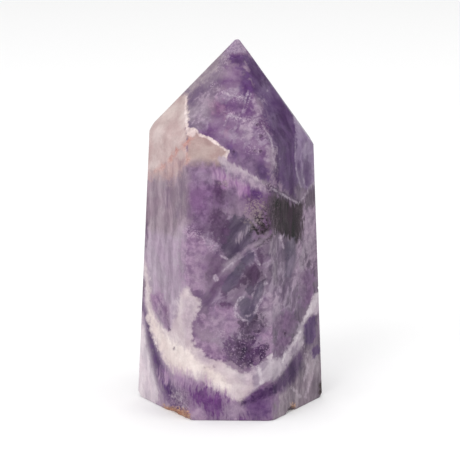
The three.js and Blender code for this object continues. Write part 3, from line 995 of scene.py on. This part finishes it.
FOOT = (
    Marking("right_foot", (
        Patch(((276, 399), (288, 390), (299, 374), (303, 352), (328, 344), (332, 400), (300, 430),
               (276, 430))),
    ), (114, 101, 113), (158, 145, 154), Grain.STREAK, 2.2, 1.2),
    Marking("dark_arc", (
        Patch(((301, 350), (303, 365), (293.5, 381), (281, 391), (268, 397.5), (250, 404), (240, 404),
               (252, 394.6), (265, 386.5), (276.7, 382), (284.3, 371), (292, 359))),
    ), (66, 49, 78), (98, 78, 106), Grain.STREAK, 1.5, 0.6),
    Marking("edge_violet", (
        Patch(((304, 326), (308, 318), (315, 314), (317, 326), (314, 341), (308, 347), (304, 340))),
        Patch(((311, 350), (318, 342), (320, 352), (314, 361))),
    ), (72, 52, 90), (104, 82, 116), Grain.STREAK, 0.8, 0.4),
    Marking("edge_lilac", (
        Patch(((317, 316), (328, 308), (328, 344), (318, 340))),
    ), (112, 93, 116), (148, 131, 148), Grain.STREAK, 1.2, 0.6, Grain.FIBRE, 0.85),
    Marking("foot_deep", (
        Patch(((190, 390), (198, 387), (208, 390), (219, 397), (228, 405), (224, 413), (214, 417), (203, 412),
               (195, 402))),
        Patch(((228, 415), (247, 415), (247, 430), (228, 430))),
    ), (92, 58, 106), (120, 85, 130), Grain.MOTTLE, 1.8, 1.8, Grain.FIBRE, 0.9),
    Marking("foot_blue", (
        Patch(((246, 403), (262, 399), (273, 401), (272, 416), (262, 421), (248, 419))),
    ), (90, 67, 104), (117, 93, 126), Grain.MOTTLE, 1.8, 0.8, Grain.FIBRE, 0.85),
    Marking("foot_rose", (
        Patch(((222, 402), (236, 403), (246, 406), (242, 418), (226, 416))),
        Patch(((182, 396), (190, 398), (200, 408), (212, 418), (206, 428), (190, 424), (184, 410))),
    ), (144, 120, 147), (174, 152, 171), Grain.MOTTLE, 1.8, 1.0, Grain.STREAK, 0.85),
    Marking("foot_broken", (
        Patch(((168, 392), (186, 390), (192, 402), (190, 412), (174, 408))),
    ), (94, 72, 103), (158, 138, 156), Grain.FROST, 1.4, 0.9, strength=0.85),
    Marking("foot_cracks", (
        Streak(((172, 396), (180, 400), (190, 408)), 1.6, 1.4),
        Streak(((176, 392), (182, 398), (184, 408)), 1.4, 1.4),
        Streak(((317, 356), (312, 374), (306, 397)), 1.8, 1.6),
        Streak(((306, 354), (308, 366), (304, 380)), 1.6, 1.4),
        Streak(((292, 388), (300, 396)), 1.6, 1.4),
    ), (156, 141, 154), (190, 176, 187), Grain.MOTTLE, 0.6, 0.3, strength=0.6),
    Marking("rust_rim", (
        Patch(((160, 405), (176, 408), (188, 410), (192, 420), (166, 420))),
        Dots(((293.3, 405.8),), 3.4),
    ), (158, 108, 84), (200, 166, 140), Grain.FROST, 0.9, 0.6, Grain.FROST, 0.85),
    Marking("brown_corner", (
        Patch(((319.3, 380), (328, 378), (328, 400), (318.4, 397))),
    ), (48, 36, 40), (84, 70, 74), Grain.FROST, 0.6, 0.3),
)

MARKINGS = (*FACE_TONES_AND_PAINTED_LIGHT, *SHADES, *PEACH, *UPPER_BAND, *MIDDLE, *MAIN_BAND, *FOOT)


@dataclass(frozen=True)
class GrowthLayers:
    """How the markings of the front run back through the stone.

    Behind the stone's widest line they drift sideways and up as they go back, and wander more, so that the
    back shows the same growth layers without being a copy of the front. wander_starts says from where in the
    noise the wander along each axis is read.
    """

    view: FrontView
    markings: tuple[Marking, ...]
    drift: tuple[float, float] = (-0.55, -0.80)
    blend_in: float = 4 * MM
    wander: float = 7 * MM
    wander_length: float = 16 * MM
    wander_starts: tuple[Vector, ...] = (
        Vector((9.3, 1.5, 7.9)), Vector((0.5, 4.2, 2.8)), Vector((6.1, 8.4, 3.3)),
    )

    def places(self, points: np.ndarray) -> np.ndarray:
        """Works out which place of the front view gives each point of the surface its markings."""
        behind = np.clip(points[:, 1], 0.0, None)
        share = eased(np.clip(behind / self.blend_in, 0.0, 1.0))
        shift = np.zeros_like(points)
        for index in np.flatnonzero(behind > 0.0):
            place = Vector(points[index]) / self.wander_length
            shift[index] = [noise.noise(place + start) for start in self.wander_starts]
        flat = points + shift * share[:, None] * self.wander
        flat[:, 1] = np.minimum(flat[:, 1], 0.0)
        steps = behind / MM / self.view.millimetres_per_step
        return self.view.places(flat) + steps[:, None] * np.array(self.drift)

    def lay_in(self, stone: bpy.types.Object) -> None:
        """Stores each marking's depth, in millimetres, at each point of the stone.

        Args:
            stone: The finished mesh.
        """
        points = np.empty(len(stone.data.vertices) * 3)
        stone.data.vertices.foreach_get("co", points)
        places = self.places(points.reshape(-1, 3))
        for marking in self.markings:
            depth = marking.depth(places) * self.view.millimetres_per_step
            stone.data.attributes.new(marking.name, "FLOAT", "POINT").data.foreach_set("value", depth)


# The stone's finish

Value = float | bpy.types.NodeSocket
Colour = Linear | bpy.types.NodeSocket
Scale = tuple[float, float, float]


@dataclass(frozen=True)
class Clouding:
    """A cloud-like pattern: its bumps to the millimetre, its layers of detail, and how strong they are.

    scale stretches the stone's places before the pattern is laid on them: less along an axis makes it longer.
    """

    bumps: float
    detail: float = 4.0
    roughness: float = 0.55
    scale: Scale | None = None


CLOUDINGS = {
    Grain.SLANT: Clouding(0.42, scale=(1.0, 1.0, 0.22)),
    Grain.CLOUD: Clouding(0.2),
    Grain.MOTTLE: Clouding(0.75, 5.0, 0.62),
    Grain.FROST: Clouding(2.4, 4.0, 0.65),
    Grain.FIBRE: Clouding(0.9, 4.0, 0.6, (2.0, 2.0, 0.28)),
    Grain.STREAK: Clouding(0.9, scale=(0.55, 0.55, 0.12)),
}


@dataclass(frozen=True)
class Nodes:
    """Places and links a material's nodes, so that a pattern reads as a formula."""

    tree: bpy.types.NodeTree

    def add(self, kind: str, **settings: object) -> bpy.types.Node:
        """Adds a node and gives it its settings."""
        node = self.tree.nodes.new(kind)
        for name, value in settings.items():
            setattr(node, name, value)
        return node

    def feed(self, socket: bpy.types.NodeSocket, value: Value | Colour | Vector) -> None:
        """Links a value into a socket, or sets it there."""
        if isinstance(value, bpy.types.NodeSocket):
            self.tree.links.new(value, socket)
        else:
            socket.default_value = value

    def math(self, operation: str, *values: Value) -> bpy.types.NodeSocket:
        """Works out one operation on plain numbers."""
        node = self.add("ShaderNodeMath", operation=operation)
        for socket, value in zip(node.inputs, values):
            self.feed(socket, value)
        return node.outputs[0]

    def ramp(self, value: Value, low: Value, high: Value) -> bpy.types.NodeSocket:
        """Rises smoothly from 0 to 1 as the value goes from low to high."""
        node = self.add("ShaderNodeMapRange", interpolation_type="SMOOTHSTEP", clamp=False)
        for socket, amount in zip(node.inputs, (value, low, high)):
            self.feed(socket, amount)
        return node.outputs[0]

    def between(self, share: Value, low: float, high: float) -> bpy.types.NodeSocket:
        """Goes in a straight line from low to high as the share goes from 0 to 1."""
        node = self.add("ShaderNodeMapRange", interpolation_type="LINEAR", clamp=False)
        self.feed(node.inputs[0], share)
        node.inputs["To Min"].default_value = low
        node.inputs["To Max"].default_value = high
        return node.outputs[0]

    def blend(self, share: Value, first: Colour, second: Colour) -> bpy.types.NodeSocket:
        """Mixes two colours."""
        node = self.add("ShaderNodeMix", data_type="RGBA")
        start, end = (socket for socket in node.inputs if socket.type == "RGBA")
        self.feed(node.inputs["Factor"], share)
        self.feed(start, first)
        self.feed(end, second)
        return next(socket for socket in node.outputs if socket.type == "RGBA")

    def attribute(self, name: str) -> bpy.types.NodeSocket:
        """Reads one of the stone's own values."""
        return self.add("ShaderNodeAttribute", attribute_name=name).outputs["Fac"]

    def stretch(self, vector: bpy.types.NodeSocket, scale: Scale) -> bpy.types.NodeSocket:
        """Scales a direction or a place along each axis."""
        node = self.add("ShaderNodeVectorMath", operation="MULTIPLY")
        self.feed(node.inputs[0], vector)
        node.inputs[1].default_value = scale
        return node.outputs[0]

    def shifted(self, vector: bpy.types.NodeSocket, by: bpy.types.NodeSocket,
                amount: float) -> bpy.types.NodeSocket:
        """Moves a place by another vector, times an amount."""
        node = self.add("ShaderNodeVectorMath", operation="MULTIPLY_ADD")
        self.feed(node.inputs[0], by)
        node.inputs[1].default_value = (amount, amount, amount)
        self.feed(node.inputs[2], vector)
        return node.outputs[0]

    def clouding(self, place: bpy.types.NodeSocket, clouding: Clouding) -> bpy.types.Node:
        """Lays a cloud-like pattern on the places given, in millimetres."""
        if clouding.scale:
            place = self.stretch(place, clouding.scale)
        node = self.add("ShaderNodeTexNoise", noise_dimensions="3D")
        self.feed(node.inputs["Vector"], place)
        node.inputs["Scale"].default_value = clouding.bumps
        node.inputs["Detail"].default_value = clouding.detail
        node.inputs["Roughness"].default_value = clouding.roughness
        return node

    def bent(self, place: bpy.types.NodeSocket, by: Clouding, amount: float) -> bpy.types.NodeSocket:
        """Bends the places by a cloud-like pattern, up to an amount in millimetres."""
        return self.shifted(place, self.clouding(place, by).outputs["Color"], amount)


@dataclass(frozen=True)
class PolishedAmethyst:
    """The stone's finish: clouded quartz in many tones beneath a clear polish, dull where it is broken.

    polish, dulled and broken are the roughness where it is best, where it is worn and where it is chipped.
    sheen_seen is what the polish adds to every tone. grain is how much the finest pattern darkens a tone,
    fine_share is what part of it is frost and streaks, and saturation is where the drift in hue starts and
    ends. slant is the turn of the slanted wisps in degrees, and bend and shake are in millimetres.
    """

    markings: tuple[Marking, ...]
    name: str = "amethyst"
    body_dark: Seen = (112, 90, 118)
    body_light: Seen = (152, 130, 150)
    refraction: float = 1.54
    polish: float = 0.16
    dulled: float = 0.34
    broken: float = 0.7
    gloss: float = 0.09
    sheen_seen: float = 0.018
    darkest: float = 0.004
    brightness: float = 0.86
    bending: Clouding = Clouding(0.16, 2.0)
    bend: float = 3.0
    shaking: Clouding = Clouding(1.2, 2.0)
    shake: float = 0.6
    shards_a_millimetre: float = 0.85
    slant: float = 38.0
    contrast: tuple[float, float] = (0.3, 0.7)
    grain: float = 0.16
    fine_share: float = 0.6
    saturation: tuple[float, float] = (1.16, 0.88)
    fleck_edge: float = 0.15
    bump_strength: float = 0.25
    bump_height: float = 0.05 * MM

    def beneath(self, seen: Seen) -> Linear:
        """The colour beneath the polish that looks like the seen one, once the polish adds its sheen."""
        parts = [max(part - self.sheen_seen, self.darkest) * self.brightness for part in tone(*seen)[:3]]
        return (*parts, 1.0)

    def patterns(self, nodes: Nodes) -> dict[Grain, bpy.types.NodeSocket]:
        """Makes each fine pattern once, from 0 to 1, in millimetres of the stone.

        Args:
            nodes: The material's nodes.

        Returns:
            The pattern's value for each kind of grain.
        """
        place = nodes.add("ShaderNodeTexCoord").outputs["Object"]
        here = nodes.stretch(place, (1 / MM, 1 / MM, 1 / MM))
        bent = nodes.bent(here, self.bending, self.bend)
        shards = nodes.add("ShaderNodeTexVoronoi", feature="F1", distance="CHEBYCHEV")
        nodes.feed(shards.inputs["Vector"], nodes.bent(here, self.shaking, self.shake))
        shards.inputs["Scale"].default_value = self.shards_a_millimetre
        block = nodes.add("ShaderNodeSeparateColor")
        nodes.feed(block.inputs[0], shards.outputs["Color"])
        slanted = nodes.add("ShaderNodeVectorRotate", rotation_type="Y_AXIS")
        nodes.feed(slanted.inputs["Vector"], bent)
        slanted.inputs["Angle"].default_value = math.radians(-self.slant)
        grounds = {Grain.SLANT: slanted.outputs[0], Grain.MOTTLE: here, Grain.FROST: here}
        raw = {
            grain: nodes.clouding(grounds.get(grain, bent), clouding).outputs["Fac"]
            for grain, clouding in CLOUDINGS.items()
        }
        patterns = {grain: nodes.ramp(value, *self.contrast) for grain, value in raw.items()}
        patterns[Grain.SHARD] = block.outputs[0]
        return patterns

    def cover(self, nodes: Nodes, patterns: dict[Grain, bpy.types.NodeSocket], marking: Marking) -> Value:
        """Works out how much a marking covers each place."""
        depth = nodes.attribute(marking.name)
        if marking.fray:
            wander = nodes.between(patterns[marking.edge], -marking.fray, marking.fray)
            depth = nodes.math("ADD", depth, wander)
        share = nodes.ramp(depth, -marking.soft / 2, marking.soft / 2)
        if marking.cover < 1.0:
            around = (1.0 - marking.cover - self.fleck_edge, 1.0 - marking.cover + self.fleck_edge)
            share = nodes.math("MULTIPLY", share, nodes.ramp(patterns[marking.flecks], *around))
        return nodes.math("MULTIPLY", share, marking.strength) if marking.strength < 1.0 else share

    def grained(self, nodes: Nodes, patterns: dict[Grain, bpy.types.NodeSocket],
                colour: bpy.types.NodeSocket) -> bpy.types.NodeSocket:
        """Gives every tone the fine grain and the drift in hue that run through the whole stone.

        Args:
            nodes: The material's nodes.
            patterns: The fine patterns.
            colour: The colour that the markings make.

        Returns:
            The grained colour.
        """
        fine = nodes.math("ADD", patterns[Grain.FROST], patterns[Grain.STREAK])
        broad = nodes.math("ADD", patterns[Grain.MOTTLE], patterns[Grain.SHARD])
        fine = nodes.math("MULTIPLY", fine, self.fine_share)
        both = nodes.math("ADD", fine, nodes.math("MULTIPLY", broad, 1.0 - self.fine_share))
        shade = nodes.add("ShaderNodeHueSaturation")
        nodes.feed(shade.inputs["Value"], nodes.between(both, 1.0 - self.grain, 1.0))
        nodes.feed(shade.inputs["Saturation"], nodes.between(patterns[Grain.CLOUD], *self.saturation))
        nodes.feed(shade.inputs["Color"], colour)
        return shade.outputs[0]

    def material(self) -> bpy.types.Material:
        """Makes the material."""
        material = bpy.data.materials.new(self.name)
        material.use_nodes = True
        nodes = Nodes(material.node_tree)
        shader = nodes.tree.nodes["Principled BSDF"]
        patterns = self.patterns(nodes)
        tones = self.beneath(self.body_dark), self.beneath(self.body_light)
        colour = nodes.blend(patterns[Grain.CLOUD], *tones)
        for marking in self.markings:
            share = self.cover(nodes, patterns, marking)
            tones = self.beneath(marking.dark), self.beneath(marking.light)
            colour = nodes.blend(share, colour, nodes.blend(patterns[marking.mix], *tones))
        nodes.feed(shader.inputs["Base Color"], self.grained(nodes, patterns, colour))
        worn = nodes.between(patterns[Grain.CLOUD], self.polish, self.dulled)
        broken = nodes.attribute("broken")
        rough = nodes.add("ShaderNodeMix", data_type="FLOAT")
        nodes.feed(rough.inputs["Factor"], broken)
        nodes.feed(rough.inputs["A"], worn)
        rough.inputs["B"].default_value = self.broken
        nodes.feed(shader.inputs["Roughness"], rough.outputs[0])
        bump = nodes.add("ShaderNodeBump")
        bump.inputs["Strength"].default_value = self.bump_strength
        bump.inputs["Distance"].default_value = self.bump_height
        nodes.feed(bump.inputs["Height"], nodes.math("MULTIPLY", patterns[Grain.FROST], broken))
        nodes.feed(shader.inputs["Normal"], bump.outputs[0])
        shader.inputs["IOR"].default_value = self.refraction
        shader.inputs["Specular IOR Level"].default_value = self.gloss
        return material


# The stone as a whole, and the studio round it


@dataclass(frozen=True)
class AmethystPoint:
    """The finished stone: its shape, its growth layers and its polish."""

    shape: PolishedPoint
    layers: GrowthLayers
    finish: PolishedAmethyst

    def build(self) -> bpy.types.Object:
        """Makes the stone, marks it, dresses it and puts it in the CAD solid's place."""
        stone = self.shape.build()
        self.layers.lay_in(stone)
        stone.data.materials.append(self.finish.material())
        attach(stone, "root")
        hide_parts("amethyst_point")
        return stone


@dataclass(frozen=True)
class SoftBox:
    """A wide, even lamp: where it stands, how wide it is and how bright."""

    name: str
    place: tuple[float, float, float]
    width: float
    power: float

    def build(self, target: Vector) -> bpy.types.Object:
        """Makes the lamp and turns it towards the target."""
        data = bpy.data.lights.new(self.name, "AREA")
        data.size = self.width
        data.energy = self.power
        lamp = bpy.data.objects.new(self.name, data)
        bpy.context.collection.objects.link(lamp)
        lamp.location = self.place
        lamp.rotation_euler = (Vector(self.place) - target).to_track_quat("Z", "Y").to_euler()
        return lamp


@dataclass(frozen=True)
class Studio:
    """The plain pale floor, the even light from all round and the soft boxes."""

    floor_radius: float = 6.0
    floor_sides: int = 96
    floor_grey: float = 0.86
    floor_roughness: float = 0.9
    floor_gloss: float = 0.1
    surround: float = 0.82
    lamp_aim: Vector = Vector((0.0, 0.0, 0.04))
    boxes: tuple[SoftBox, ...] = (
        SoftBox("key_box", (-0.55, -0.75, 0.60), 0.7, 5.0),
        SoftBox("top_box", (0.10, 0.10, 1.10), 0.9, 4.0),
        SoftBox("right_box", (0.80, -0.45, 0.35), 0.5, 1.2),
    )

    def floor(self) -> bpy.types.Object:
        """Makes the round floor that the stone stands on."""
        bm = bmesh.new()
        bmesh.ops.create_circle(bm, cap_ends=True, segments=self.floor_sides, radius=self.floor_radius)
        mesh = bpy.data.meshes.new("pale_floor")
        bm.to_mesh(mesh)
        bm.free()
        floor = bpy.data.objects.new("pale_floor", mesh)
        bpy.context.collection.objects.link(floor)
        material = bpy.data.materials.new("pale_floor")
        material.use_nodes = True
        shader = material.node_tree.nodes["Principled BSDF"]
        shader.inputs["Base Color"].default_value = (self.floor_grey, self.floor_grey, self.floor_grey, 1.0)
        shader.inputs["Roughness"].default_value = self.floor_roughness
        shader.inputs["Specular IOR Level"].default_value = self.floor_gloss
        mesh.materials.append(material)
        return floor

    def world(self) -> None:
        """Lights the stone evenly from all round."""
        world = bpy.data.worlds.new("studio")
        world.use_nodes = True
        background = world.node_tree.nodes["Background"]
        background.inputs["Color"].default_value = (1.0, 1.0, 1.0, 1.0)
        background.inputs["Strength"].default_value = self.surround
        bpy.context.scene.world = world

    def build(self) -> None:
        """Makes the floor, the even light and the lamps, and shows colours as they are."""
        self.floor()
        self.world()
        for box in self.boxes:
            box.build(self.lamp_aim)
        bpy.context.scene.view_settings.view_transform = "Standard"


UPRIGHTS = (
    Upright((-20.6, 0.2), 0.9, 61.2, 1.65),
    Upright((-9.1, -16.7), 0.5, 59.1, 2.95),
    Upright((9.2, -17.2), 0.5, 58.8, 2.35),
    Upright((20.6, -0.4), 0.7, 58.4, 1.7),
    Upright((9.9, 16.4), 0.6, 59.4, 2.4),
    Upright((-10.4, 17.2), 0.4, 61.0, 3.3),
)


def main() -> None:
    """Builds the camera, the stone and the studio, and reports each."""
    logging.basicConfig(level=logging.INFO, format="%(message)s")
    log = logging.getLogger("amethyst")
    view = FrontView()
    view.camera()
    log.info("camera: %.1f mm lens, %.0f degrees up", bpy.context.scene.camera.data.lens, view.elevation)
    point = AmethystPoint(PolishedPoint(UPRIGHTS), GrowthLayers(view, MARKINGS), PolishedAmethyst(MARKINGS))
    stone = point.build()
    log.info("stone: %d faces, %d markings", len(stone.data.polygons), len(MARKINGS))
    studio = Studio()
    studio.build()
    log.info("studio: floor and %d soft boxes", len(studio.boxes))


if __name__ == "__main__":
    main()
